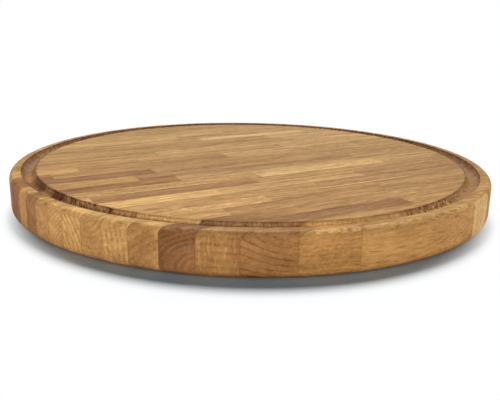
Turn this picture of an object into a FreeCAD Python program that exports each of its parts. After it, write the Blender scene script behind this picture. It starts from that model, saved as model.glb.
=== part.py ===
import FreeCAD, Part
import Sketcher
import math
import os

# Round steak board of oak. Square sticks are glued side by side into 26 rows,
# many rows with butt joints along their length, and the blank is then turned
# to a disc with a rounded rim and a juice groove.
# Millimetres, +Z up, origin at the middle of the underside.

Vector = FreeCAD.Vector
doc = FreeCAD.newDocument("steak_board")

# Driving dimensions.
sheet = doc.addObject("Spreadsheet::Sheet", "dims")
sizes = [
    ("board_diameter", 400.0),
    ("board_thickness", 30.0),
    ("top_round", 5.0),
    ("bottom_round", 5.0),
    ("rim_land", 9.0),
    ("groove_width", 10.5),
    ("groove_depth", 5.0),
    ("stave_width", 15.5),
    ("grain_angle", 30.0),
    ("blank_allowance", 3.0),
]

# Butt joints of each row, from its left end, measured along the grain from
# the middle of the board. Rows are counted outwards from the middle glue line.
joints = {
    "front_01": [-94.0],
    "front_02": [-114.0, -84.0, 89.0],
    "front_03": [-86.0],
    "front_04": [-25.0, 99.0],
    "front_05": [-162.0, -35.0],
    "front_06": [-75.0, 52.0],
    "front_07": [-57.0, 1.0],
    "front_08": [-52.0, 43.0],
    "front_09": [-93.0, 37.0],
    "front_10": [-34.0],
    "front_11": [-94.0, 31.0],
    "front_12": [-20.0],
    "front_13": [-35.0],
    "back_01": [-170.0, 70.0],
    "back_02": [-146.0, -14.0],
    "back_03": [56.0],
    "back_04": [-66.0],
    "back_05": [78.0],
    "back_06": [69.0],
    "back_07": [-1.0, 120.0],
    "back_08": [-19.0],
    "back_09": [40.0],
}
for row_name, places in joints.items():
    for number, place in enumerate(places, 1):
        sizes.append((f"joint_{row_name}_{number}", place))

for line, (alias, value) in enumerate(sizes, 1):
    sheet.set(f"A{line}", alias)
    sheet.set(f"B{line}", str(value))
    sheet.setAlias(f"B{line}", alias)
doc.recompute()

radius = sheet.board_diameter / 2
thickness = sheet.board_thickness

# Sizes worked out from the driving ones, as expressions.
RADIUS = "dims.board_diameter / 2"
GROOVE_RADIUS = f"({RADIUS} - dims.rim_land - dims.groove_width / 2)"
NOSE_RADIUS = "((dims.groove_width ^ 2 / 4 + dims.groove_depth ^ 2) / (2 * dims.groove_depth))"
NOSE_HEIGHT = f"(dims.board_thickness - dims.groove_depth + {NOSE_RADIUS})"
BLANK_END = f"({RADIUS} + dims.blank_allowance)"


def bind(thing, path, expression):
    thing.setExpression(path, expression)


def origin_plane(body, role):
    for feature in body.Origin.OriginFeatures:
        if feature.Role == role:
            return feature
    raise RuntimeError(f"{body.Label} has no {role}")


def section_sketch(body, name):
    sketch = body.newObject("Sketcher::SketchObject", name)
    sketch.AttachmentSupport = [(origin_plane(body, "XZ_Plane"), "")]
    sketch.MapMode = "FlatFace"
    return sketch


def dimension(sketch, name, expression, kind, *place):
    number = sketch.addConstraint(Sketcher.Constraint(kind, *place))
    sketch.renameConstraint(number, name)
    bind(sketch, f"Constraints.{name}", expression)


def arc(x, z, size, start, end):
    circle = Part.Circle(Vector(x, z, 0), Vector(0, 0, 1), size)
    return Part.ArcOfCircle(circle, math.radians(start), math.radians(end))


# The turned disc: half of its section, with the rim's two rounded edges,
# revolved about the upright axis.
disc = doc.addObject("PartDesign::Body", "disc")
section = section_sketch(disc, "half_section")
low = sheet.bottom_round
high = sheet.top_round
UNDERSIDE, LOW_ROUND, WALL, HIGH_ROUND, FACE, AXIS = range(6)
START, END, CENTRE = 1, 2, 3
ORIGIN = -1
section.addGeometry(Part.LineSegment(Vector(0, 0, 0), Vector(radius - low, 0, 0)))
section.addGeometry(arc(radius - low, low, low, 270, 360))
section.addGeometry(Part.LineSegment(Vector(radius, low, 0), Vector(radius, thickness - high, 0)))
section.addGeometry(arc(radius - high, thickness - high, high, 0, 90))
section.addGeometry(Part.LineSegment(Vector(radius - high, thickness, 0), Vector(0, thickness, 0)))
section.addGeometry(Part.LineSegment(Vector(0, thickness, 0), Vector(0, 0, 0)))
section.addConstraint([
    Sketcher.Constraint("Coincident", UNDERSIDE, START, ORIGIN, START),
    Sketcher.Constraint("Horizontal", UNDERSIDE),
    Sketcher.Constraint("Tangent", UNDERSIDE, END, LOW_ROUND, START),
    Sketcher.Constraint("Tangent", LOW_ROUND, END, WALL, START),
    Sketcher.Constraint("Vertical", WALL),
    Sketcher.Constraint("Tangent", WALL, END, HIGH_ROUND, START),
    Sketcher.Constraint("Tangent", HIGH_ROUND, END, FACE, START),
    Sketcher.Constraint("Horizontal", FACE),
    Sketcher.Constraint("Coincident", FACE, END, AXIS, START),
    Sketcher.Constraint("Vertical", AXIS),
    Sketcher.Constraint("Coincident", AXIS, END, UNDERSIDE, START),
])
dimension(section, "radius", RADIUS, "DistanceX", ORIGIN, START, WALL, START, radius)
dimension(section, "thickness", "dims.board_thickness", "DistanceY", ORIGIN, START, AXIS, START, thickness)
dimension(section, "low_round", "dims.bottom_round", "Radius", LOW_ROUND, low)
dimension(section, "high_round", "dims.top_round", "Radius", HIGH_ROUND, high)

turned = disc.newObject("PartDesign::Revolution", "turned")
turned.Profile = section
turned.ReferenceAxis = (section, ["V_Axis"])
turned.Angle = 360
doc.recompute()

# The juice groove, cut by a round-nosed cutter on a circle inside the rim.
depth = sheet.groove_depth
nose = (sheet.groove_width ** 2 / 4 + depth ** 2) / (2 * depth)
groove_radius = radius - sheet.rim_land - sheet.groove_width / 2
nose_height = thickness - depth + nose
cutter = section_sketch(disc, "groove_section")
cutter.addGeometry(Part.Circle(Vector(groove_radius, nose_height, 0), Vector(0, 0, 1), nose))
dimension(cutter, "nose_radius", NOSE_RADIUS, "Radius", 0, nose)
dimension(cutter, "reach", GROOVE_RADIUS, "DistanceX", ORIGIN, START, 0, CENTRE, groove_radius)
dimension(cutter, "height", NOSE_HEIGHT, "DistanceY", ORIGIN, START, 0, CENTRE, nose_height)

groove = disc.newObject("PartDesign::Groove", "juice_groove")
groove.Profile = cutter
groove.ReferenceAxis = (cutter, ["V_Axis"])
groove.Angle = 360
disc.Tip = groove
doc.recompute()
if groove.Shape.Volume >= turned.Shape.Volume:
    raise RuntimeError("the juice groove cuts nothing")


# One stick of a row: a length of square stock between two glue joints, as
# tall as the rough blank, and the part of it that the turning leaves.
def stick(name, left, right, near):
    stock = doc.addObject("Part::Box", f"stock_{name}")
    bind(stock, "Length", f"{right} - {left}")
    bind(stock, "Width", "dims.stave_width")
    bind(stock, "Height", "dims.board_thickness + 2 * dims.blank_allowance")
    bind(stock, "Placement.Base.x", left)
    bind(stock, "Placement.Base.y", near)
    bind(stock, "Placement.Base.z", "-dims.blank_allowance")
    piece = doc.addObject("Part::Common", f"stave_{name}")
    piece.Base = stock
    piece.Tool = disc
    piece.Label = f"stave_{name}"
    piece.Placement = FreeCAD.Placement(Vector(), FreeCAD.Rotation(Vector(0, 0, 1), 1))
    bind(piece, "Placement.Rotation.Angle", "dims.grain_angle")
    return piece


# The rows, as many as the disc needs on either side of the middle glue line.
# A stick keeps its letter, and one that lies outside the disc is not made.
pieces = []
rows = math.ceil(radius / sheet.stave_width)
reach = radius + sheet.blank_allowance
for side in ("front", "back"):
    for row in range(1, rows + 1):
        row_name = f"{side}_{row:02d}"
        inner = (row - 1) * sheet.stave_width
        half_chord = math.sqrt(radius ** 2 - inner ** 2)
        ends = [(-reach, f"-{BLANK_END}")]
        for number in range(1, len(joints.get(row_name, [])) + 1):
            cell = f"joint_{row_name}_{number}"
            ends.append((sheet.get(cell), f"dims.{cell}"))
        ends.append((reach, BLANK_END))
        if side == "front":
            near = f"-{row} * dims.stave_width"
        else:
            near = f"{row - 1} * dims.stave_width"
        for letter, (left, start), (right, stop) in zip("abcd", ends, ends[1:]):
            if right > -half_chord and left < half_chord:
                pieces.append(stick(f"{row_name}_{letter}", start, stop, near))
doc.recompute()

for thing in doc.Objects:
    for state in ("Invalid", "Error"):
        if state in thing.State:
            raise RuntimeError(f"{thing.Label} is {state}")
total = 0.0
for piece in pieces:
    if piece.Shape.isNull() or not piece.Shape.isValid():
        raise RuntimeError(f"{piece.Label} has no valid shape")
    if len(piece.Shape.Solids) != 1:
        raise RuntimeError(f"{piece.Label} is not one solid")
    total += piece.Shape.Volume
if abs(total - disc.Shape.Volume) > 1e-6 * total:
    raise RuntimeError("the sticks do not fill the disc")

os.makedirs("parts", exist_ok=True)
for piece in pieces:
    piece.Shape.exportStep(f"parts/{piece.Label}.step")
print(len(pieces), "pieces,", round(total), "cubic millimetres")
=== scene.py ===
import math
import random
from types import SimpleNamespace
import bpy
from mathutils import Euler, Matrix, Vector

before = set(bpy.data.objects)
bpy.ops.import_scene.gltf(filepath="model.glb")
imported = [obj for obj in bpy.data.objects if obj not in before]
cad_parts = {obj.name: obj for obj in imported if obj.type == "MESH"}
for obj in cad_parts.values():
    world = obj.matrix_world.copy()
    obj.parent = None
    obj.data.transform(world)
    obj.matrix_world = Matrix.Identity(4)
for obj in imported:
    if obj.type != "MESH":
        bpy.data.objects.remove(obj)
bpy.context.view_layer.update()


# The oak. Every stick is sawn from its own piece of oak, so the year rings,
# pores and rays run on through the stick and come out as bands on the face and
# as arcs on the sawn ends. The board is glued up, turned, grooved and oiled.
STICK_WIDTH = 15.5
GRAIN_ANGLE = 30.0
BOARD_THICKNESS = 30.0
BOARD_WIDTH = 400.0
GROOVE_INNER = 180.5
GROOVE_OUTER = 191.0
GROOVE_FLOOR = 25.0
MM_PER_METRE = 1000.0


def put(tree, kind, values=None, **settings):
    node = tree.nodes.new(kind)
    for name, value in settings.items():
        setattr(node, name, value)
    for name, value in (values or {}).items():
        if isinstance(value, bpy.types.NodeSocket):
            tree.links.new(value, node.inputs[name])
        else:
            node.inputs[name].default_value = value
    return node


def sum_up(tree, operation, first, second=0.0, third=0.0):
    values = {0: first, 1: second, 2: third}
    return put(tree, "ShaderNodeMath", values, operation=operation).outputs[0]


def times(tree, first, *others):
    for other in others:
        first = sum_up(tree, "MULTIPLY", first, other)
    return first


def length(tree, first, second):
    squares = sum_up(tree, "ADD", times(tree, first, first), times(tree, second, second))
    return sum_up(tree, "SQRT", squares)


def ramp(tree, value, low, high, start=0.0, end=1.0):
    values = {"Value": value, "From Min": low, "From Max": high, "To Min": start, "To Max": end}
    node = put(tree, "ShaderNodeMapRange", values, interpolation_type="SMOOTHSTEP")
    return node.outputs["Result"]


def vector_sum(tree, operation, first, second):
    values = {0: first, 1: second}
    return put(tree, "ShaderNodeVectorMath", values, operation=operation).outputs["Vector"]


def parts_of(tree, vector):
    return put(tree, "ShaderNodeSeparateXYZ", {0: vector}).outputs


# Where a point of the wood lies: along, across and up its own stick, and out
# from the middle of the board, up it and round it, all in millimetres. Where
# a face cuts across the grain, the sawn ends of the fibres show.
END_GRAIN_FROM, END_GRAIN_FULL = 0.15, 0.95


def where(tree, given):
    at = SimpleNamespace()
    split = parts_of(tree, given["Place"])
    at.along, at.across, at.up = split[0], split[1], split[2]
    at.billet = vector_sum(tree, "ADD", given["Place"], given["Billet"])
    turned = put(tree, "ShaderNodeVectorRotate", {
        "Vector": put(tree, "ShaderNodeTexCoord").outputs["Normal"],
        "Angle": math.radians(-GRAIN_ANGLE),
    }, rotation_type="Z_AXIS").outputs["Vector"]
    faces = parts_of(tree, turned)
    at.level = sum_up(tree, "ABSOLUTE", faces[2])
    end_on = sum_up(tree, "ABSOLUTE", faces[0])
    at.end_grain = ramp(tree, end_on, END_GRAIN_FROM, END_GRAIN_FULL)
    spot = parts_of(tree, put(tree, "ShaderNodeTexCoord").outputs["Object"])
    at.reach = times(tree, length(tree, spot[0], spot[1]), MM_PER_METRE)
    at.rise = times(tree, spot[2], MM_PER_METRE)
    at.round_board = times(tree, sum_up(tree, "ARCTAN2", spot[1], spot[0]), GROOVE_INNER)
    return at


# Year rings: a row of open pores in spring, then darker summer wood, and lean
# and fat years that come out as bands. The pith wanders as the tree grew, so
# no ring line is quite straight.
NOISE_MIDDLE = 0.5


def minus(tree, first, second):
    return sum_up(tree, "SUBTRACT", first, second)


def add_share(tree, value, share, base):
    return sum_up(tree, "MULTIPLY_ADD", value, share, base)


def swing(tree, noise):
    return minus(tree, noise, NOISE_MIDDLE)


def fade(tree, value, low, high):
    return ramp(tree, value, low, high, 1.0, 0.0)


def band(tree, value, opens, closes):
    return times(tree, ramp(tree, value, *opens), fade(tree, value, *closes))


def blend(tree, factor, first, second):
    values = {"Factor": factor, 2: first, 3: second}
    return put(tree, "ShaderNodeMix", values, data_type="FLOAT").outputs[0]


def noise_node(tree, place, detail, roughness, distortion=0.0):
    values = {
        "Vector": place,
        "Scale": 1.0,
        "Detail": detail,
        "Roughness": roughness,
        "Distortion": distortion,
    }
    return put(tree, "ShaderNodeTexNoise", values, noise_dimensions="3D")


def noise(tree, place, detail, roughness, distortion=0.0):
    return noise_node(tree, place, detail, roughness, distortion).outputs["Fac"]


# Marks that run long in the grain are given as how many there are in a
# millimetre along it and across it, then their detail and roughness.
def long_noise(tree, billet, along, across, detail, roughness):
    place = vector_sum(tree, "MULTIPLY", billet, (along, across, across))
    return noise(tree, place, detail, roughness)


PITH_WANDER = (0.011, 0.004, 0.004)
PITH_WANDER_NOISE = (1.0, 0.5)
PITH_WANDER_BY = 14.0
RING_WOBBLE = (0.03, 0.16, 2.0, 0.5)
RING_WOBBLE_BY = 2.4
SPRING_OPENS, SPRING_CLOSES = (0.0, 0.12), (0.14, 0.42)
SUMMER_OPENS, SUMMER_CLOSES = (0.28, 0.55), (0.70, 1.0)
PORE_DOTS = (0.06, 1.25, 1.0, 0.5)
PORE_DOT_RANGE = (0.38, 0.62, 0.55, 1.0)
SPRING_TONE = -0.50
SUMMER_TONE = 0.18
SOFT_RING_TONE = -0.22
RING_PATCHES = (0.02, 0.13, 2.0, 0.5)
RING_PATCH_RANGE = (0.36, 0.64, 0.35, 1.15)
YEAR_FORCE, YEAR_FORCE_LEAST = 0.8, 0.6
YEAR_TONE = 0.26
HEART_WITHIN, HEART_OUT = 6.0, 26.0


def year_rings(tree, given, at):
    rings = SimpleNamespace()
    wander_place = vector_sum(tree, "MULTIPLY", at.billet, PITH_WANDER)
    wander = noise_node(tree, wander_place, *PITH_WANDER_NOISE)
    shift = put(tree, "ShaderNodeSeparateColor", {0: wander.outputs["Color"]}).outputs
    pith_across = add_share(tree, swing(tree, shift[0]), PITH_WANDER_BY, given["Pith Across"])
    pith_up = add_share(tree, swing(tree, shift[1]), PITH_WANDER_BY, given["Pith Up"])
    out_across = minus(tree, at.across, pith_across)
    out_up = minus(tree, at.up, pith_up)
    wobble = swing(tree, long_noise(tree, at.billet, *RING_WOBBLE))
    rings.out = add_share(tree, wobble, RING_WOBBLE_BY, length(tree, out_across, out_up))
    rings.round_pith = sum_up(tree, "ARCTAN2", out_up, out_across)

    year = sum_up(tree, "DIVIDE", rings.out, given["Ring Width"])
    season = sum_up(tree, "FRACT", year)
    year_number = put(
        tree, "ShaderNodeTexWhiteNoise", {"W": sum_up(tree, "FLOOR", year)}, noise_dimensions="1D"
    ).outputs["Value"]
    rings.spring = band(tree, season, SPRING_OPENS, SPRING_CLOSES)
    summer = band(tree, season, SUMMER_OPENS, SUMMER_CLOSES)
    rings.dots = long_noise(tree, at.billet, *PORE_DOTS)
    open_pores = times(tree, rings.spring, ramp(tree, rings.dots, *PORE_DOT_RANGE))
    crisp = add_share(tree, open_pores, SPRING_TONE, times(tree, summer, SUMMER_TONE))
    wave = sum_up(tree, "COSINE", times(tree, year, math.tau))
    tone = blend(tree, given["Ring Softness"], crisp, times(tree, wave, SOFT_RING_TONE))
    patchy = ramp(tree, long_noise(tree, at.billet, *RING_PATCHES), *RING_PATCH_RANGE)
    year_force = add_share(tree, year_number, YEAR_FORCE, YEAR_FORCE_LEAST)
    tone = times(tree, tone, patchy, year_force)
    rings.tone = add_share(tree, swing(tree, year_number), YEAR_TONE, tone)
    rings.heart = fade(tree, rings.out, HEART_WITHIN, HEART_OUT)
    return rings


# Fibres, broad streaks, short dashes and the open pores, all long in the
# grain. Most of the pores lie in the spring wood.
FIBRES = (0.035, 0.95, 3.0, 0.6)
STREAKS = (0.014, 0.20, 4.0, 0.65)
BROAD_STREAKS = (0.0055, 0.11, 1.0, 0.5)
DASHES = (0.11, 0.55, 2.0, 0.6)
PORES = (0.085, 1.5, 1.0, 0.5)
PORE_FROM, PORE_FULL = 0.55, 0.66
SPRING_PORES, OTHER_PORES = 0.75, 0.25


def long_marks(tree, at, spring):
    marks = SimpleNamespace()
    marks.fibre = long_noise(tree, at.billet, *FIBRES)
    marks.streak = long_noise(tree, at.billet, *STREAKS)
    marks.broad = long_noise(tree, at.billet, *BROAD_STREAKS)
    marks.dash = long_noise(tree, at.billet, *DASHES)
    pore = ramp(tree, long_noise(tree, at.billet, *PORES), PORE_FROM, PORE_FULL)
    marks.pore = times(tree, pore, add_share(tree, spring, SPRING_PORES, OTHER_PORES))
    return marks


# Rays: thin pale sheets from the pith outwards, seen as flecks where a face
# runs along them and as fine lines on an end.
RAYS_ALONG = 0.26
RAYS_ROUND = 70.0
RAYS_OUT = 0.13
RAY_NOISE = (2.0, 0.55, 0.3)
RAY_FROM, RAY_FULL = 0.55, 0.65


def place_from(tree, **parts):
    return put(tree, "ShaderNodeCombineXYZ", parts).outputs["Vector"]


def ray_flecks(tree, given, at, rings):
    place = place_from(
        tree,
        X=times(tree, at.along, RAYS_ALONG),
        Y=times(tree, rings.round_pith, RAYS_ROUND),
        Z=times(tree, rings.out, RAYS_OUT),
    )
    place = vector_sum(tree, "ADD", place, given["Billet"])
    return ramp(tree, noise(tree, place, *RAY_NOISE), RAY_FROM, RAY_FULL)


# The juice groove, cut with a round-nosed cutter. Where it crosses the grain
# its inner lip is chipped and its wall is torn into upright lines. The wall is
# splintered in places. Painted shade darkens a line just inside the inner lip,
# the wall close under the lip and the outer wall, and painted light makes the
# wall paler at its foot.
CROSS_CUT_FROM, CROSS_CUT_FULL = 0.08, 0.55
LIP_CHIPS_ROUND = 0.7
LIP_CHIP_NOISE = (2.0, 0.7)
LIP_CHIP_RANGE = (0.35, 0.65, 0.3, 1.9)
LIP_START = (-0.3, 0.4)
OUTER_LIP = (GROOVE_OUTER - 0.2, GROOVE_OUTER + 0.6)
FLOOR_START = (GROOVE_FLOOR - 1.0, GROOVE_FLOOR)
WALL_START = (GROOVE_FLOOR, GROOVE_FLOOR + 1.0)
TORN_ROUND, TORN_OUT, TORN_UP = 0.62, 0.12, 0.22
TORN_NOISE = (3.0, 0.75)
TORN_FROM, TORN_FULL = 0.42, 0.58
SPECKLES_ROUND, SPECKLES_OUT, SPECKLES_UP = 0.95, 0.5, 0.7
SPECKLE_NOISE = (2.0, 0.6)
SPLINTERS_ROUND, SPLINTERS_LEAN, SPLINTERS_UP, SPLINTERS_OUT = 0.34, 0.30, 0.10, 0.10
SPLINTER_NOISE = (2.0, 0.6, 1.6)
SPLINTER_FROM, SPLINTER_FULL = 0.50, 0.57
LIP_LINE_OPENS, LIP_LINE_CLOSES = (-0.3, 0.2), (0.5, 1.4)
OUTER_WALL_FROM, OUTER_WALL_FULL = GROOVE_INNER + 4.0, GROOVE_INNER + 7.0
UNDER_LIP_FROM, UNDER_LIP_FULL = BOARD_THICKNESS - 1.8, BOARD_THICKNESS - 0.2
FOOT_FULL_UNDER, FOOT_UNDER = GROOVE_FLOOR + 2.0, GROOVE_FLOOR + 3.8


def juice_groove(tree, given, at):
    groove = SimpleNamespace()
    cross_cut = sum_up(tree, "ABSOLUTE", sum_up(tree, "DIVIDE", at.along, at.reach))
    cross_cut = ramp(tree, cross_cut, CROSS_CUT_FROM, CROSS_CUT_FULL)
    chipped_place = place_from(tree, X=times(tree, at.round_board, LIP_CHIPS_ROUND))
    chipped = ramp(tree, noise(tree, chipped_place, *LIP_CHIP_NOISE), *LIP_CHIP_RANGE)
    inner_lip = minus(tree, GROOVE_INNER, times(tree, chipped, cross_cut))
    lip_away = minus(tree, at.reach, inner_lip)
    inside = times(tree, ramp(tree, lip_away, *LIP_START), fade(tree, at.reach, *OUTER_LIP))
    groove.inside = times(tree, inside, ramp(tree, at.rise, *FLOOR_START))
    groove.wall = times(tree, groove.inside, ramp(tree, at.rise, *WALL_START))

    torn_place = place_from(
        tree,
        X=times(tree, at.round_board, TORN_ROUND),
        Y=times(tree, at.reach, TORN_OUT),
        Z=times(tree, at.rise, TORN_UP),
    )
    groove.torn = ramp(tree, noise(tree, torn_place, *TORN_NOISE), TORN_FROM, TORN_FULL)
    speckle_place = place_from(
        tree,
        X=times(tree, at.round_board, SPECKLES_ROUND),
        Y=times(tree, at.reach, SPECKLES_OUT),
        Z=times(tree, at.rise, SPECKLES_UP),
    )
    speckle = swing(tree, noise(tree, speckle_place, *SPECKLE_NOISE))
    groove.speckle = times(tree, speckle, groove.wall)
    splinter_place = place_from(
        tree,
        X=add_share(tree, at.rise, SPLINTERS_LEAN, times(tree, at.round_board, SPLINTERS_ROUND)),
        Y=times(tree, at.rise, SPLINTERS_UP),
        Z=times(tree, at.reach, SPLINTERS_OUT),
    )
    splinter = noise(tree, splinter_place, *SPLINTER_NOISE)
    splinter = times(tree, ramp(tree, splinter, SPLINTER_FROM, SPLINTER_FULL), groove.wall)
    groove.splinter = times(tree, splinter, given["Splinters"])

    # masks for painted shade: a line just inside the inner lip, the outer wall, and the wall
    # close under the lip
    lip_line = band(tree, lip_away, LIP_LINE_OPENS, LIP_LINE_CLOSES)
    groove.lip_line = times(tree, lip_line, groove.inside)
    outer_part = ramp(tree, at.reach, OUTER_WALL_FROM, OUTER_WALL_FULL)
    groove.outer_wall = times(tree, groove.inside, outer_part)
    high = ramp(tree, at.rise, UNDER_LIP_FROM, UNDER_LIP_FULL)
    groove.under_lip = times(tree, groove.wall, high)
    # mask for painted light at the foot of the groove wall
    low = fade(tree, at.rise, FOOT_FULL_UNDER, FOOT_UNDER)
    groove.foot = times(tree, groove.wall, low, given["Pale Foot"])
    return groove


# The rim: pale chips along its upper edge, where the board has been knocked.
# A painted highlight lies along the edge itself, and a line of painted shade runs
# close under it, on the rounding, plainer on some sticks than on others.
RIM_FULL_UNDER, RIM_UNDER = 0.35, 0.95
RIM_OUT = (GROOVE_OUTER, GROOVE_OUTER + 3.0)
EDGE_OUT = (GROOVE_OUTER + 2.0, GROOVE_OUTER + 4.0)
WORN_OPENS, WORN_CLOSES = (0.45, 0.75), (0.90, 0.99)
CHIPS_ROUND, CHIPS_UP = 0.17, 0.4
CHIP_NOISE = (4.0, 0.75)
CHIP_FROM, CHIP_FULL = 0.46, 0.56
CHIP_RISE = (BOARD_THICKNESS / 2, BOARD_THICKNESS / 2 + 5.0)
EDGE_LIGHT_LEVEL = (0.88, 0.94)
EDGE_LIGHT_OUT = (GROOVE_OUTER + 3.0, GROOVE_OUTER + 5.0)
EDGE_LINE_OPENS, EDGE_LINE_CLOSES = (0.58, 0.70), (0.84, 0.92)
RIM_RINGS_FULL, RIM_RINGS_END = 0.15, 0.65


def rim_edge(tree, given, at):
    rim = SimpleNamespace()
    upright = fade(tree, at.level, RIM_FULL_UNDER, RIM_UNDER)
    rim.face = times(tree, upright, ramp(tree, at.reach, *RIM_OUT))
    rim.rings = times(tree, rim.face, fade(tree, at.level, RIM_RINGS_FULL, RIM_RINGS_END))
    by_edge = ramp(tree, at.reach, *EDGE_OUT)
    chip_place = place_from(
        tree,
        X=times(tree, at.round_board, CHIPS_ROUND),
        Y=times(tree, at.rise, CHIPS_UP),
    )
    chip = ramp(tree, noise(tree, chip_place, *CHIP_NOISE), CHIP_FROM, CHIP_FULL)
    chip = times(tree, chip, band(tree, at.level, WORN_OPENS, WORN_CLOSES), by_edge)
    rim.chip = times(tree, chip, given["Chips"], ramp(tree, at.rise, *CHIP_RISE))
    # painted highlight along the rim's upper edge
    on_edge = ramp(tree, at.reach, *EDGE_LIGHT_OUT)
    rim.edge_light = times(tree, ramp(tree, at.level, *EDGE_LIGHT_LEVEL), on_edge)
    # painted shade: a dark line on the rounding close under the edge
    edge_line = times(tree, band(tree, at.level, EDGE_LINE_OPENS, EDGE_LINE_CLOSES), by_edge)
    rim.edge_line = times(tree, edge_line, given["Edge Line"])
    return rim


# A pin knot, where the stick has one: the end of a small twig that the tree
# grew over, dark, and longer along the grain than across it.
KNOT_LONG = 0.4
KNOT_WITHIN, KNOT_OUT = 0.25, 1.0


def pin_knot(tree, given, at):
    off_along = times(tree, minus(tree, at.along, given["Knot Along"]), KNOT_LONG)
    off_across = minus(tree, at.across, given["Knot Across"])
    off = sum_up(tree, "DIVIDE", length(tree, off_along, off_across), given["Knot Size"])
    return fade(tree, off, KNOT_WITHIN, KNOT_OUT)


# One long pale fibre with a dark one beside it, where a stick has them. Both
# die away at their ends, and the dark one is broken up by the streaks.
SEAM_START, SEAM_END = (0.0, 16.0), (0.0, 10.0)
PALE_FIBRE_OPENS, PALE_FIBRE_CLOSES = (-1.6, -0.7), (0.7, 1.6)
DARK_FIBRE_OPENS, DARK_FIBRE_CLOSES = (-4.8, -3.4), (-2.2, -1.4)
DARK_FIBRE_RANGE = (0.42, 0.58, 0.3, 1.2)
PALE_FIBRE_TONE = 0.95
DARK_FIBRE_TONE = -0.55


def long_seam(tree, given, at, streak):
    from_start = minus(tree, at.along, given["Seam From"])
    to_end = minus(tree, given["Seam To"], at.along)
    long = times(tree, ramp(tree, from_start, *SEAM_START), ramp(tree, to_end, *SEAM_END))
    beside = minus(tree, at.across, given["Seam Across"])
    pale = band(tree, beside, PALE_FIBRE_OPENS, PALE_FIBRE_CLOSES)
    dark = band(tree, beside, DARK_FIBRE_OPENS, DARK_FIBRE_CLOSES)
    dark = times(tree, dark, ramp(tree, streak, *DARK_FIBRE_RANGE))
    tone = add_share(tree, dark, DARK_FIBRE_TONE, times(tree, pale, PALE_FIBRE_TONE))
    return times(tree, tone, long)


# The glue lines between the rows and at the butt joints, where two sticks
# were clamped together: thin, a little darker and a little sunk.
GLUE_HALF_WIDTH, GLUE_GONE = 0.05, 0.35


def glue_line(tree, given, at):
    side_gap = minus(tree, STICK_WIDTH / 2, sum_up(tree, "ABSOLUTE", at.across))
    left_gap = minus(tree, at.along, given["Left End"])
    right_gap = minus(tree, given["Right End"], at.along)
    end_gap = sum_up(tree, "MINIMUM", left_gap, right_gap)
    return fade(tree, sum_up(tree, "MINIMUM", side_gap, end_gap), GLUE_HALF_WIDTH, GLUE_GONE)


# How light or dark each mark is, as a share of the stick's own colour. What is
# given for the rim and the groove is added to what the face has, so streaks
# show most on the face and rings show most on the rim.
STREAK_ON_FACE, STREAK_ON_RIM, STREAK_IN_GROOVE = 2.8, -1.7, -2.0
FINE_ON_FACE, FINE_ON_RIM, FINE_IN_GROOVE = 1.65, -0.60, -0.9
FIBRE_TONE = 1.6
BROAD_TONE = 1.6
DASH_TONE = 1.4
RING_ON_FACE, RING_ON_RIM = 0.30, 0.85
DOT_TONE = 0.5
FLECK_TONE, FLECK_ON_END = 0.75, -0.35
PORE_TONE = -0.9
KNOT_TONE = -0.75
EDGE_LINE_TONE = -0.55
EDGE_LIGHT_TONE = 0.16
SPECKLE_TONE = 2.0
CHIP_TONE = 0.85


def wood_tone(tree, given, at, rings, marks, ray, groove, rim):
    on_rim = add_share(tree, rim.face, STREAK_ON_RIM, STREAK_ON_FACE)
    streaky = add_share(tree, groove.inside, STREAK_IN_GROOVE, on_rim)
    on_rim = add_share(tree, rim.face, FINE_ON_RIM, FINE_ON_FACE)
    fine = add_share(tree, groove.inside, FINE_IN_GROOVE, on_rim)
    streaks = times(tree, swing(tree, marks.fibre), times(tree, fine, FIBRE_TONE))
    streaks = add_share(tree, swing(tree, marks.streak), streaky, streaks)
    streaks = add_share(tree, swing(tree, marks.broad), BROAD_TONE, streaks)
    dashes = times(tree, fine, DASH_TONE)
    streaks = add_share(tree, swing(tree, marks.dash), dashes, streaks)
    ring_force = add_share(tree, rim.rings, RING_ON_RIM, RING_ON_FACE)
    tone = times(tree, rings.tone, ring_force, given["Rings"])
    tone = add_share(tree, streaks, given["Streaks"], tone)
    tone = add_share(tree, rings.heart, given["Pale Heart"], tone)
    tone = add_share(tree, times(tree, swing(tree, rings.dots), rim.face), DOT_TONE, tone)
    fleck_tone = add_share(tree, at.end_grain, FLECK_ON_END, FLECK_TONE)
    tone = add_share(tree, times(tree, ray, given["Flecks"]), fleck_tone, tone)
    tone = add_share(tree, times(tree, marks.pore, given["Pores"]), PORE_TONE, tone)
    tone = add_share(tree, pin_knot(tree, given, at), KNOT_TONE, tone)
    tone = sum_up(tree, "ADD", long_seam(tree, given, at, marks.streak), tone)
    # painted shade under the rim's edge, then a painted highlight along it
    tone = add_share(tree, rim.edge_line, EDGE_LINE_TONE, tone)
    tone = add_share(tree, rim.edge_light, EDGE_LIGHT_TONE, tone)
    tone = add_share(tree, groove.speckle, SPECKLE_TONE, tone)
    return add_share(tree, rim.chip, CHIP_TONE, tone)


# The colour: the stick's own oak, which may change towards one end, with the
# marks laid on. The ends of the grain drink more oil, most of all in the
# groove. Painted light makes the groove wall paler against its shade, most of
# all at its foot, and painted shade darkens a line just inside the inner lip,
# the wall close under the lip and the outer wall.
TONE_OF_COLOUR = (0.50, 0.58, 0.70)
DARKEST = (0.18, 0.15, 0.12)
END_GRAIN_TINT = (0.99, 0.91, 0.85)
LONG_GRAIN_RIM_TINT = (1.11, 1.02, 0.87)
WET_OVER = 14.0
# painted light that lifts the groove wall out of its shade
FRESH_CUT_TINT = (1.48, 1.67, 1.83)
SOAKED_WALL, SOAKED_FLOOR = 0.6, 0.4
SOAKED_TORN, SOAKED_WHOLE = 0.3, 0.7
SOAKED_TINT = (0.32, 0.15, 0.145)
TORN_TINT = (0.40, 0.25, 0.19)
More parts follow.
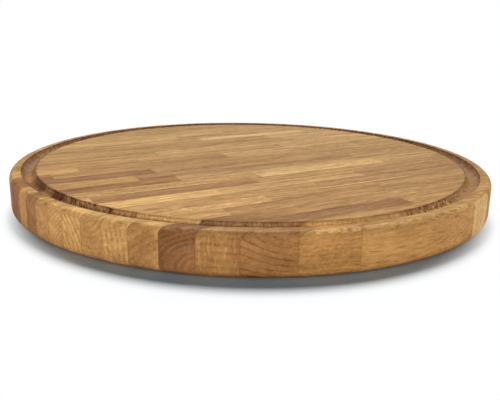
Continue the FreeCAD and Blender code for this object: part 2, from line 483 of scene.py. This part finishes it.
# painted shade for the inner lip, the outer wall and under the lip; painted light for the wall's
# foot
LIP_LINE_SHARE = 0.45
LIP_LINE_TINT = (0.45, 0.38, 0.34)
OUTER_WALL_TINT = (0.80, 0.79, 0.94)
UNDER_LIP_TINT = (0.71, 0.68, 0.66)
FOOT_TINT = (1.70, 1.68, 1.62)
GLUE_SHARE = 0.5
GLUE_TINT = (0.72, 0.62, 0.50)


def blend_colour(tree, factor, first, second):
    values = {"Factor": factor, 6: first, 7: second}
    return put(tree, "ShaderNodeMix", values, data_type="RGBA").outputs[2]


def tint(tree, colour, factor, by):
    values = {"Factor": factor, "A": colour, "B": (*by, 1.0)}
    mix = put(tree, "ShaderNodeMix", values, data_type="RGBA", blend_type="MULTIPLY")
    return mix.outputs[2]


def wood_colour(tree, given, at, tone, groove, rim, glue):
    past = sum_up(tree, "DIVIDE", minus(tree, at.along, given["Far From"]), given["Far Over"])
    where_far = blend(tree, given["Far On Rim"], 1.0, rim.face)
    far = times(tree, ramp(tree, past, 0.0, 1.0), where_far)
    body = blend_colour(tree, far, given["Oak"], given["Far Oak"])
    depth = put(
        tree, "ShaderNodeVectorMath", {0: TONE_OF_COLOUR, "Scale": tone}, operation="SCALE"
    ).outputs["Vector"]
    depth = vector_sum(tree, "ADD", depth, (1.0, 1.0, 1.0))
    depth = vector_sum(tree, "MAXIMUM", depth, DARKEST)
    oak = vector_sum(tree, "MULTIPLY", body, depth)
    outside = minus(tree, 1.0, groove.inside)
    oak = tint(tree, oak, times(tree, at.end_grain, outside), END_GRAIN_TINT)
    long_grain = minus(tree, 1.0, at.end_grain)
    oak = tint(tree, oak, times(tree, rim.face, long_grain), LONG_GRAIN_RIM_TINT)

    wet = ramp(tree, minus(tree, at.along, given["Wet From"]), 0.0, WET_OVER)
    oil = times(tree, given["Soaked"], wet)
    # painted light on the groove wall, except where oil darkens it
    oak = tint(tree, oak, times(tree, minus(tree, 1.0, oil), groove.wall), FRESH_CUT_TINT)
    floor = times(tree, groove.inside, SOAKED_FLOOR)
    drinks = add_share(tree, groove.wall, SOAKED_WALL, floor)
    drinks = times(tree, drinks, add_share(tree, groove.torn, SOAKED_TORN, SOAKED_WHOLE))
    oak = tint(tree, oak, times(tree, drinks, oil), SOAKED_TINT)
    torn_here = times(tree, given["Torn"], wet)
    ragged = times(tree, times(tree, groove.wall, groove.torn), torn_here)
    oak = tint(tree, oak, ragged, TORN_TINT)
    # painted shade: a dark line inside the inner lip, on the outer wall and under the lip;
    # painted light at the foot
    oak = tint(tree, oak, times(tree, groove.lip_line, LIP_LINE_SHARE), LIP_LINE_TINT)
    oak = blend_colour(tree, groove.splinter, oak, body)
    oak = tint(tree, oak, groove.outer_wall, OUTER_WALL_TINT)
    oak = tint(tree, oak, groove.under_lip, UNDER_LIP_TINT)
    oak = tint(tree, oak, groove.foot, FOOT_TINT)
    return tint(tree, oak, times(tree, glue, GLUE_SHARE), GLUE_TINT)


# The oiled surface: rays shine a little, end grain is duller, and pores,
# glue lines, spring wood and torn grain lie a little deeper.
DULLNESS, FIBRE_DULLNESS, RAY_DULLNESS, END_DULLNESS = 0.50, 0.12, -0.08, 0.08
FIBRE_HEIGHT = 0.35
PORE_HEIGHT = -0.8
GLUE_HEIGHT = -0.5
SPRING_HEIGHT = -0.15
TORN_HEIGHT = -0.6


def wood_roughness(tree, at, marks, ray):
    rough = add_share(tree, marks.fibre, FIBRE_DULLNESS, DULLNESS)
    rough = add_share(tree, ray, RAY_DULLNESS, rough)
    return add_share(tree, at.end_grain, END_DULLNESS, rough)


def wood_height(tree, marks, spring, glue, groove):
    height = add_share(tree, marks.pore, PORE_HEIGHT, times(tree, marks.fibre, FIBRE_HEIGHT))
    height = add_share(tree, glue, GLUE_HEIGHT, height)
    height = add_share(tree, spring, SPRING_HEIGHT, height)
    return add_share(tree, times(tree, groove.wall, groove.torn), TORN_HEIGHT, height)


# The oak put together as one shader group that every stick uses with its own
# values. A mark that a stick hasn't got is placed far off the board.
NOWHERE = 999.0


def oak_figure():
    tree = bpy.data.node_groups.new("oak_figure", "ShaderNodeTree")

    def take(kind, **values):
        for name, value in values.items():
            socket = tree.interface.new_socket(
                name.replace("_", " "), in_out="INPUT", socket_type=kind
            )
            socket.default_value = value

    take("NodeSocketVector", Place=(0.0, 0.0, 0.0), Billet=(0.0, 0.0, 0.0))
    take("NodeSocketColor", Oak=(0.5, 0.35, 0.2, 1.0), Far_Oak=(0.5, 0.35, 0.2, 1.0))
    take("NodeSocketFloat", Far_From=NOWHERE, Far_Over=1.0, Far_On_Rim=0.0)
    take("NodeSocketFloat", Pith_Across=60.0, Pith_Up=-40.0, Ring_Width=2.5)
    take("NodeSocketFloat", Rings=0.5, Ring_Softness=0.0, Pale_Heart=0.0)
    take("NodeSocketFloat", Streaks=0.5, Flecks=0.5, Pores=0.5)
    take("NodeSocketFloat", Soaked=0.3, Wet_From=-NOWHERE, Torn=0.5, Splinters=0.0)
    # the last two values set a painted shade line under the rim's edge and painted light at the
    # groove wall's foot
    take("NodeSocketFloat", Chips=0.2, Edge_Line=0.0, Pale_Foot=0.0)
    take("NodeSocketFloat", Knot_Along=NOWHERE, Knot_Across=0.0, Knot_Size=1.0)
    take("NodeSocketFloat", Seam_From=NOWHERE, Seam_To=NOWHERE, Seam_Across=0.0)
    take("NodeSocketFloat", Left_End=-BOARD_WIDTH / 2, Right_End=BOARD_WIDTH / 2)
    given = tree.nodes.new("NodeGroupInput").outputs

    at = where(tree, given)
    rings = year_rings(tree, given, at)
    marks = long_marks(tree, at, rings.spring)
    ray = ray_flecks(tree, given, at, rings)
    groove = juice_groove(tree, given, at)
    rim = rim_edge(tree, given, at)
    glue = glue_line(tree, given, at)
    tone = wood_tone(tree, given, at, rings, marks, ray, groove, rim)
    results = (
        ("Color", "NodeSocketColor", wood_colour(tree, given, at, tone, groove, rim, glue)),
        ("Roughness", "NodeSocketFloat", wood_roughness(tree, at, marks, ray)),
        ("Height", "NodeSocketFloat", wood_height(tree, marks, rings.spring, glue, groove)),
    )
    for name, kind, _ in results:
        tree.interface.new_socket(name, in_out="OUTPUT", socket_type=kind)
    leave = tree.nodes.new("NodeGroupOutput")
    for name, _, result in results:
        tree.links.new(result, leave.inputs[name])
    return tree


figure = oak_figure()


# The tones of the oiled sticks, as the eye reads them from 0 to 255, turned
# into the linear light that a shader works in.
def oiled(red, green, blue):
    def linear(part):
        part /= 255.0
        return part / 12.92 if part <= 0.04045 else ((part + 0.055) / 1.055) ** 2.4
    return (linear(red), linear(green), linear(blue), 1.0)


CREAM = oiled(213, 178, 127)
STRAW = oiled(211, 169, 113)
PALE = oiled(201, 159, 106)
LIGHT = oiled(190, 148, 97)
MEDIUM = oiled(181, 140, 91)
TAN = oiled(174, 133, 86)
BROWN = oiled(167, 126, 83)
RUSSET = oiled(160, 118, 78)
DARK = oiled(151, 110, 74)
CHESTNUT = oiled(133, 94, 62)

# How the log was cut, as the place of the pith from the middle of the stick.
FLAT = (6.0, -36.0)
RIFT = (42.0, -44.0)
QUARTER = (80.0, -7.0)

# One stick: its place in the row, its own piece of the log, and its oiled
# skin. Places along it are in millimetres from the middle of the board. A
# painted sheen makes the colour a little less yellow towards the right and the back.
GREEN_MIDDLE, GREEN_TO_BACK, GREEN_TO_RIGHT = 1.015, 0.03, 0.04
BLUE_MIDDLE, BLUE_TO_BACK, BLUE_TO_RIGHT = 1.005, 0.09, 0.12
LOG_LENGTH = 900.0
RELIEF_STRENGTH = 0.5
RELIEF_DEPTH = 0.0003
OIL_SHINE = 0.07


# Two of a stick's values give painted light and shade: the painted shade line under the rim's
# edge and the painted light at the foot of the groove wall.
def saw(
    name, oak, pith=RIFT, ring=2.6, rings=0.75, soft=0.0, heart=0.0, streaks=0.8,
    flecks=0.3, pores=0.5, soaked=0.4, wet_from=-NOWHERE, torn=0.5, splinters=0.0,
    chips=0.25, edge=0.3, foot=0.1, far=None, far_from=NOWHERE, far_over=1.0,
    far_rim=0.0, knot=(NOWHERE, 0.0, 1.0), seam=(NOWHERE, NOWHERE, 0.0),
):
    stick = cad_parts[f"stave_{name}"]
    turn = Matrix.Rotation(math.radians(-GRAIN_ANGLE), 3, "Z")
    corners = [turn @ point.co * MM_PER_METRE for point in stick.data.vertices]
    left = min(corner.x for corner in corners)
    right = max(corner.x for corner in corners)
    side, row = name.split("_")[:2]
    middle = (int(row) - 0.5) * STICK_WIDTH * (-1 if side == "front" else 1)
    to_back = middle * 2.0 / BOARD_WIDTH
    to_right = (left + right) / BOARD_WIDTH
    # painted sheen: green and blue rise towards the right and the back of the board
    green = GREEN_MIDDLE + GREEN_TO_BACK * to_back + GREEN_TO_RIGHT * to_right
    blue = BLUE_MIDDLE + BLUE_TO_BACK * to_back + BLUE_TO_RIGHT * to_right
    far = far or oak
    chance = random.Random(name)

    wood = bpy.data.materials.new(f"oak_{name}")
    wood.use_nodes = True
    tree = wood.node_tree
    tree.nodes.clear()
    place = put(tree, "ShaderNodeMapping", {
        "Vector": put(tree, "ShaderNodeTexCoord").outputs["Object"],
        "Location": (0.0, -middle, -BOARD_THICKNESS / 2),
        "Rotation": (0.0, 0.0, math.radians(-GRAIN_ANGLE)),
        "Scale": (MM_PER_METRE, MM_PER_METRE, MM_PER_METRE),
    }, vector_type="POINT")
    group = put(tree, "ShaderNodeGroup", {
        "Place": place.outputs["Vector"],
        "Billet": [chance.uniform(-LOG_LENGTH, LOG_LENGTH) for _ in range(3)],
        "Oak": (oak[0], oak[1] * green, oak[2] * blue, 1.0),
        "Far Oak": (far[0], far[1] * green, far[2] * blue, 1.0),
        "Far From": far_from,
        "Far Over": far_over,
        "Far On Rim": far_rim,
        "Pith Across": pith[0],
        "Pith Up": pith[1],
        "Ring Width": ring,
        "Rings": rings,
        "Ring Softness": soft,
        "Pale Heart": heart,
        "Streaks": streaks,
        "Flecks": flecks,
        "Pores": pores,
        "Soaked": soaked,
        "Wet From": wet_from,
        "Torn": torn,
        "Splinters": splinters,
        "Chips": chips,
        "Edge Line": edge,
        "Pale Foot": foot,
        "Knot Along": knot[0],
        "Knot Across": knot[1],
        "Knot Size": knot[2],
        "Seam From": seam[0],
        "Seam To": seam[1],
        "Seam Across": seam[2],
        "Left End": left,
        "Right End": right,
    }, node_tree=figure)
    relief = put(tree, "ShaderNodeBump", {
        "Height": group.outputs["Height"],
        "Strength": RELIEF_STRENGTH,
        "Distance": RELIEF_DEPTH,
    })
    skin = put(tree, "ShaderNodeBsdfPrincipled", {
        "Base Color": group.outputs["Color"],
        "Roughness": group.outputs["Roughness"],
        "Normal": relief.outputs["Normal"],
        "Specular IOR Level": OIL_SHINE,
    })
    put(tree, "ShaderNodeOutputMaterial", {"Surface": skin.outputs[0]})
    stick.material_slots[0].material = wood


# The 13 rows in front of the middle glue line, from the middle outwards. Each
# is glued up from sticks of oak that butt end to end, lettered from the left.
# The left ends of these rows make most of the rim that shows in front.
saw("front_01_a", DARK, pith=FLAT, soaked=0.7)
saw("front_01_b", TAN)
saw("front_02_a", LIGHT, pith=QUARTER, soaked=0.5, far=MEDIUM, far_from=-186.0, far_over=8.0)
saw("front_02_b", RUSSET)
saw("front_02_c", BROWN)
saw("front_02_d", TAN)
saw("front_03_a", RUSSET, pith=RIFT, soaked=0.9, torn=0.2)
saw("front_03_b", MEDIUM)
saw(
    "front_04_a", LIGHT, pith=(48.0, -64.0), ring=1.9, rings=0.85, flecks=1.0, soaked=0.88,
    torn=0.6, splinters=0.9, far=MEDIUM, far_from=-178.0, far_over=5.0,
)
saw("front_04_b", STRAW)
saw("front_04_c", TAN)
saw(
    "front_05_a", PALE, pith=(-52.0, -50.0), ring=2.4, rings=0.7, flecks=0.1, soaked=0.72,
    torn=0.9, splinters=0.9,
)
saw("front_05_b", RUSSET)
saw("front_05_c", TAN)
saw(
    "front_06_a", STRAW, pith=(72.0, -36.0), ring=3.3, rings=1.0, flecks=0.0, soaked=0.82,
    torn=1.0, splinters=0.6,
)
saw("front_06_b", LIGHT)
saw("front_06_c", BROWN)
saw(
    "front_07_a", LIGHT, pith=(2.0, 16.0), ring=3.4, rings=0.8, soft=0.5, soaked=0.25,
    torn=0.5, knot=(-134.0, -4.5, 3.2), far=MEDIUM, far_from=-166.0, far_over=10.0,
)
saw("front_07_b", MEDIUM)
saw("front_07_c", BROWN)
saw(
    "front_08_a", PALE, pith=(90.0, -12.0), ring=3.3, rings=0.9, flecks=0.7, soaked=0.0,
    torn=0.3, far=LIGHT, far_from=-156.0, far_over=8.0,
)
saw("front_08_b", TAN, seam=(-14.0, 60.0, 6.3))
saw("front_08_c", TAN, rings=0.1, streaks=0.45, seam=(30.0, 88.0, 6.4))
saw(
    "front_09_a", TAN, pith=(-42.0, -40.0), ring=3.4, rings=0.75, soft=0.8, soaked=0.0,
    torn=0.1, far=LIGHT, far_from=-150.0, far_over=8.0,
)
saw("front_09_b", TAN, soaked=0.2)
saw("front_09_c", TAN, soaked=0.3)
saw(
    "front_10_a", CHESTNUT, pith=(-11.0, -11.5), ring=2.8, rings=-1.1, soft=0.15, heart=0.95,
    soaked=0.0, torn=0.3, chips=1.2, foot=0.6, far=TAN, far_from=-125.0, far_over=80.0,
)
saw("front_10_b", TAN, soaked=0.25)
saw(
    "front_11_a", TAN, pith=(0.0, -80.0), ring=4.8, rings=0.7, soft=0.3, streaks=0.55,
    flecks=1.0, soaked=0.0, torn=0.1, edge=0.6, foot=0.65, far=RUSSET, far_from=-113.0,
    far_over=5.0,
)
saw("front_11_b", DARK, soaked=0.0, torn=0.45, foot=0.65)
saw("front_11_c", TAN, soaked=0.2)
saw(
    "front_12_a", RUSSET, pith=(-10.5, 22.0), ring=3.6, rings=0.8, soaked=0.0, torn=0.2,
    chips=0.5, edge=0.8, foot=1.0, far=MEDIUM, far_from=-64.0, far_over=8.0,
)
saw(
    "front_12_b", TAN, pith=RIFT, soaked=0.25, wet_from=4.0, torn=0.9, chips=0.3, foot=1.0,
    far=CREAM, far_from=70.0, far_over=4.0, far_rim=1.0,
)
saw("front_13_a", TAN, pith=(20.0, -60.0), rings=0.4, soaked=0.0, torn=0.7, chips=1.5)
saw("front_13_b", MEDIUM, rings=0.25, pores=0.7, soaked=0.0, torn=0.8, chips=0.9)


# The 13 rows behind the middle glue line, from the middle outwards, of the
# same oak and glued up in the same way. The outermost four are one stick each.
saw("back_01_a", DARK, soaked=0.45)
saw("back_01_b", TAN)
saw("back_01_c", MEDIUM, soaked=0.65)
saw("back_02_a", LIGHT, soaked=0.45)
saw("back_02_b", BROWN)
saw("back_02_c", LIGHT, soaked=0.65)
saw("back_03_a", MEDIUM, soaked=0.45)
saw("back_03_b", LIGHT, soaked=0.65)
saw("back_04_a", TAN, soaked=0.45)
saw("back_04_b", LIGHT, soaked=0.65)
saw("back_05_a", MEDIUM, soaked=0.45)
saw("back_05_b", MEDIUM, soaked=0.65)
saw("back_06_a", TAN, soaked=0.45)
saw("back_06_b", LIGHT, soaked=0.65)
saw("back_07_a", MEDIUM)
saw("back_07_b", PALE)
saw("back_07_c", MEDIUM)
saw("back_08_a", LIGHT)
saw("back_08_b", MEDIUM)
saw("back_09_a", LIGHT)
saw("back_09_b", MEDIUM)
saw("back_10_a", MEDIUM)
saw("back_11_a", TAN)
saw("back_12_a", TAN)
saw("back_13_a", TAN)


# The table that the board lies on, a matt sheet that goes over into plain white
# away from the board. The white is measured from a point a little in front of
# the board and comes in closer at its sides, so that it is painted over the edge
# of the shadow there. Near the board the sheet is a little cooler and has a faint
# cool glow, strongest at the board's foot, so that its shadow stays grey in the
# warm light off the rim.
WHITE = (1.0, 1.0, 1.0, 1.0)
TABLE_SIDE = 8.0
TABLE_DROP = 0.0003
TABLE_GREY = (0.85, 0.85, 0.85, 1.0)
FOOT_COOL = (0.84, 0.95, 1.0, 1.0)
FOOT_COOL_TO, FOOT_COOL_GONE = 0.203, 0.214
SHADOW_MIDDLE = (0.0, -0.02, 0.0)
SHADOW_SQUEEZE = (1.1, 1.0, 1.0)
SHADOW_REACH = 0.192
WHITE_FROM = 0.223
# painted light: a stronger glow where the board meets the table
FOOT_GLOW = (0.045, 0.062, 0.074, 1.0)
TABLE_GLOW = (0.0, 0.052, 0.086, 1.0)
FOOT_IN, FOOT_OUT = 0.199, 0.206
half = TABLE_SIDE / 2
table_mesh = bpy.data.meshes.new("table")
table_mesh.from_pydata([
    (-half, -half, -TABLE_DROP),
    (half, -half, -TABLE_DROP),
    (half, half, -TABLE_DROP),
    (-half, half, -TABLE_DROP),
], [], [(0, 1, 2, 3)])
table = bpy.data.objects.new("table", table_mesh)
bpy.context.scene.collection.objects.link(table)
white_table = bpy.data.materials.new("white_table")
white_table.use_nodes = True
tree = white_table.node_tree
tree.nodes.clear()
seen = put(tree, "ShaderNodeLightPath").outputs["Is Camera Ray"]
spot = put(tree, "ShaderNodeTexCoord").outputs["Object"]
distance = put(tree, "ShaderNodeVectorMath", {0: spot}, operation="LENGTH").outputs["Value"]
squeezed = vector_sum(tree, "MULTIPLY", spot, SHADOW_SQUEEZE)
shadow_distance = put(
    tree, "ShaderNodeVectorMath", {0: squeezed, 1: SHADOW_MIDDLE}, operation="DISTANCE"
).outputs["Value"]
foot_cool = ramp(tree, distance, FOOT_COOL_TO, FOOT_COOL_GONE)
seen_cover = blend_colour(tree, foot_cool, FOOT_COOL, WHITE)
cover = blend_colour(tree, seen, TABLE_GREY, seen_cover)
matt = put(tree, "ShaderNodeBsdfDiffuse", {"Color": cover})
# the glow is stronger at the board's foot, where it lifts the dark contact line
foot = ramp(tree, distance, FOOT_IN, FOOT_OUT)
glow_colour = blend_colour(tree, foot, FOOT_GLOW, TABLE_GLOW)
glow = put(tree, "ShaderNodeEmission", {"Color": glow_colour, "Strength": seen})
shaded = put(tree, "ShaderNodeAddShader", {0: matt.outputs[0], 1: glow.outputs[0]})
plain = put(tree, "ShaderNodeEmission", {"Color": WHITE, "Strength": 1.0})
# painted white over the shadow's edge, closer to the board at its sides than in front
away = ramp(tree, shadow_distance, SHADOW_REACH, WHITE_FROM)
both = put(tree, "ShaderNodeMixShader", {
    0: times(tree, away, seen),
    1: shaded.outputs[0],
    2: plain.outputs[0],
})
put(tree, "ShaderNodeOutputMaterial", {"Surface": both.outputs[0]})
table_mesh.materials.append(white_table)


# The room: a white backdrop, which only the camera sees, and a little light
# on the board from all round.
ROOM_LIGHT = 0.04
studio = bpy.data.worlds.new("studio")
bpy.context.scene.world = studio
studio.use_nodes = True
tree = studio.node_tree
tree.nodes.clear()
seen = put(tree, "ShaderNodeLightPath").outputs["Is Camera Ray"]
room = put(tree, "ShaderNodeBackground", {"Color": WHITE, "Strength": ROOM_LIGHT})
backdrop = put(tree, "ShaderNodeBackground", {"Color": WHITE, "Strength": 1.0})
both = put(tree, "ShaderNodeMixShader", {0: seen, 1: room.outputs[0], 2: backdrop.outputs[0]})
put(tree, "ShaderNodeOutputWorld", {"Surface": both.outputs[0]})


# The key light, above and behind the board: three broad lamps one above the
# other, so that the edge of the shadow in front is soft.
KEY_HEIGHTS = (50.0, 57.0, 65.0)
KEY_POWER = 1.085
KEY_BREADTH = 10.0
for number, key_height in enumerate(KEY_HEIGHTS, 1):
    key_light = bpy.data.lights.new(f"key_{number}", "SUN")
    key_light.energy = KEY_POWER
    key_light.angle = math.radians(KEY_BREADTH)
    key = bpy.data.objects.new(f"key_{number}", key_light)
    key.rotation_euler = Euler((math.radians(key_height - 90.0), 0.0, 0.0))
    bpy.context.scene.collection.objects.link(key)


# The low lights: long panels in front and at both sides, low over the table.
# They are flagged off the table, so that its shadow stays dark.
LOW_LIGHT_TALL = 0.26
LOW_LIGHT_UP = 0.37
LOW_LIGHT_NOD = 12.0
LOW_LIGHT_OFF = 1.6
board_only = bpy.data.collections.new("flagged_lights")
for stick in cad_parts.values():
    board_only.objects.link(stick)


def low_light(name, wide, power, turn):
    lamp = bpy.data.lights.new(name, "AREA")
    lamp.shape = "RECTANGLE"
    lamp.size = wide
    lamp.size_y = LOW_LIGHT_TALL
    lamp.energy = power
    panel = bpy.data.objects.new(name, lamp)
    around = math.radians(turn)
    panel.location = (
        LOW_LIGHT_OFF * math.sin(around),
        -LOW_LIGHT_OFF * math.cos(around),
        LOW_LIGHT_UP,
    )
    panel.rotation_euler = Euler((math.radians(90.0 - LOW_LIGHT_NOD), 0.0, around))
    panel.visible_camera = False
    panel.light_linking.receiver_collection = board_only
    bpy.context.scene.collection.objects.link(panel)


low_light("low_front", wide=2.4, power=16.2, turn=0.0)
low_light("low_right", wide=1.2, power=8.4, turn=90.0)
low_light("low_left", wide=1.2, power=7.4, turn=-90.0)


# The camera, on a stand in front of the board, a little above it and looking
# down on it, with the small tilt to one side that the photograph has.
CAMERA_BACK = 0.5536
CAMERA_UP = 0.1510
LOOK_DOWN = 16.02
CAMERA_ROLL = 1.038
CAMERA_LENS = 46.3
SENSOR_WIDTH = 36.0
NEAREST_SEEN = 0.01
camera_data = bpy.data.cameras.new("camera")
camera_data.sensor_width = SENSOR_WIDTH
camera_data.lens = CAMERA_LENS
camera_data.clip_start = NEAREST_SEEN
camera = bpy.data.objects.new("camera", camera_data)
tilt = Euler((math.radians(90.0 - LOOK_DOWN), 0.0, 0.0)).to_matrix()
roll = Matrix.Rotation(math.radians(CAMERA_ROLL), 3, "Z")
stand = Vector((0.0, -CAMERA_BACK, CAMERA_UP))
camera.matrix_world = Matrix.LocRotScale(stand, tilt @ roll, None)
bpy.context.scene.collection.objects.link(camera)
bpy.context.scene.camera = camera
bpy.context.scene.view_settings.view_transform = "Standard"
